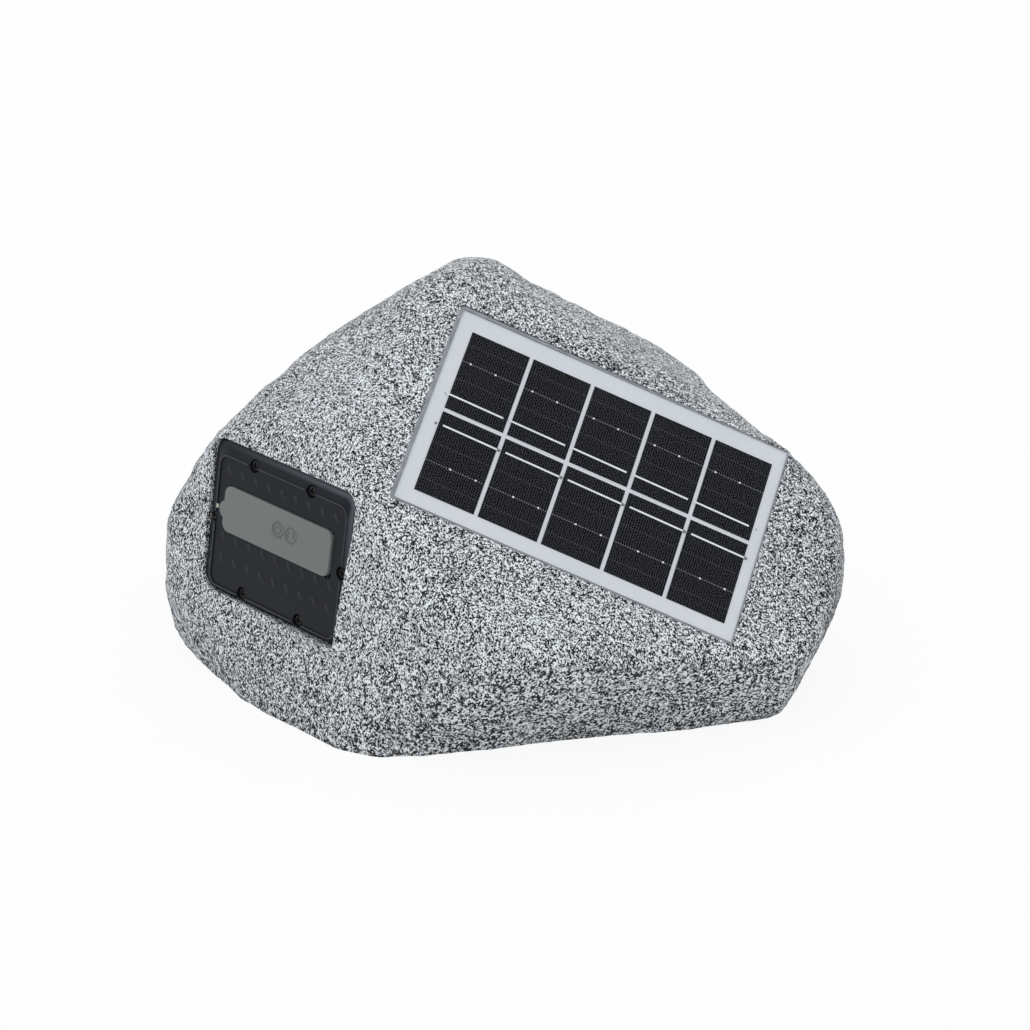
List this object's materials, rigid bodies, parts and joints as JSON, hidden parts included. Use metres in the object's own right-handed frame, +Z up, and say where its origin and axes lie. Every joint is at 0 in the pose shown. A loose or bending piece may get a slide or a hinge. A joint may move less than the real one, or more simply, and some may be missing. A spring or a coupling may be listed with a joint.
{
  "type": "rock shaped garden speaker",
  "caption": "Garden speaker moulded as a granite rock, with a solar panel on its sloping front, a screwed control cover with a port flap, and a loudspeaker at the back.",
  "frame": {"origin": "on the ground under the rock's core point, in the middle of the base", "axes": "+X to the right of someone who faces the front, +Y to the back, where the loudspeaker looks, +Z up"},
  "size_m": [0.3374, 0.2604, 0.1971],
  "materials": {
    "granite": "moulded granite texture, speckled grey",
    "base_plastic": "black moulded plastic",
    "seal_rubber": "black foam rubber",
    "sealant": "grey sealant",
    "backsheet": "white laminate",
    "silicon": "dark solar cells",
    "tinned_ribbon": "tinned copper ribbon",
    "clear_cover": "clear cover sheet",
    "cover_plastic": "black moulded plastic",
    "black_screw": "black oxide steel",
    "steel_screw": "zinc plated steel",
    "lamp_lens": "diffusing lens",
    "flap_rubber": "grey rubber",
    "button_plastic": "black plastic",
    "circuit_board": "green solder mask",
    "black_plastic": "black plastic",
    "socket_metal": "plated steel",
    "grille_metal": "black perforated sheet",
    "ring_plastic": "black moulded plastic",
    "basket_metal": "black pressed steel",
    "plated_steel": "zinc plated steel",
    "ferrite": "dark ferrite",
    "coil_copper": "enamelled copper on a former",
    "paper_cone": "black coated cone",
    "surround_rubber": "black rubber roll",
    "spider_cloth": "corrugated cloth",
    "sink_aluminium": "extruded aluminium",
    "capacitor_sleeve": "dark sleeve",
    "white_plastic": "white nylon",
    "cell_wrap": "plain blue wrap",
    "strap_steel": "plated steel strip",
    "lead_jacket": "black jacket"
  },
  "bodies": {
    "speaker": {"rock_shell": "granite", "base_plate": "base_plastic", "base_gasket": "seal_rubber", "base_screws": "steel_screw", "solar_backsheet": "backsheet", "solar_cells": "silicon", "cell_ribbons": "tinned_ribbon", "solar_cover": "clear_cover", "panel_seal": "sealant", "junction_box": "base_plastic", "control_box": "base_plastic", "cover_gasket": "seal_rubber", "control_cover": "cover_plastic", "cover_screws": "black_screw", "status_lamp": "lamp_lens", "hinge_pin": "steel_screw", "control_board": "circuit_board", "control_board_screws": "steel_screw", "tact_switches": "black_plastic", "usb_socket": "socket_metal", "box_grommet": "seal_rubber", "grille": "grille_metal", "grille_ring": "ring_plastic", "ring_screws": "black_screw", "driver_gasket": "seal_rubber", "driver_basket": "basket_metal", "driver_screws": "steel_screw", "top_plate": "plated_steel", "magnet": "ferrite", "pole_yoke": "plated_steel", "terminal_strip": "black_plastic", "surround": "surround_rubber", "spider": "spider_cloth", "amplifier_board": "circuit_board", "board_screws": "steel_screw", "amplifier_chip": "black_plastic", "heat_sink": "sink_aluminium", "capacitors": "capacitor_sleeve", "inductors": "black_plastic", "board_sockets": "white_plastic", "battery_tray": "base_plastic", "battery_cells": "cell_wrap", "battery_strap": "strap_steel", "strap_screws": "steel_screw", "solar_lead": "lead_jacket", "control_lead": "lead_jacket", "speaker_lead": "lead_jacket", "battery_lead": "lead_jacket"},
    "port_flap": {"port_cover": "flap_rubber"},
    "power_button": {"power_button": "button_plastic"},
    "pairing_button": {"pairing_button": "button_plastic"},
    "cone_assembly": {"cone": "paper_cone", "dust_cap": "paper_cone", "voice_coil": "coil_copper"}
  },
  "joints": [
    {"name": "flap_hinge", "type": "hinge", "parent": "speaker", "child": "port_flap", "pos_m": [-0.07966, -0.06339, 0.08971], "axis": [0.1228, 0.1228, 0.9848], "range_deg": [0, 100]},
    {"name": "power_press", "type": "slide", "parent": "speaker", "child": "power_button", "axis": [0.6964, 0.6964, -0.1736], "range_m": [0, 0.0006], "stiffness_N_per_m": 800},
    {"name": "pairing_press", "type": "slide", "parent": "speaker", "child": "pairing_button", "axis": [0.6964, 0.6964, -0.1736], "range_m": [0, 0.0006], "stiffness_N_per_m": 800},
    {"name": "cone_travel", "type": "slide", "parent": "speaker", "child": "cone_assembly", "axis": [0, 0.9659, 0.2588], "range_m": [-0.003, 0.003], "stiffness_N_per_m": 2000, "deforming": ["surround", "spider"]}
  ]
}
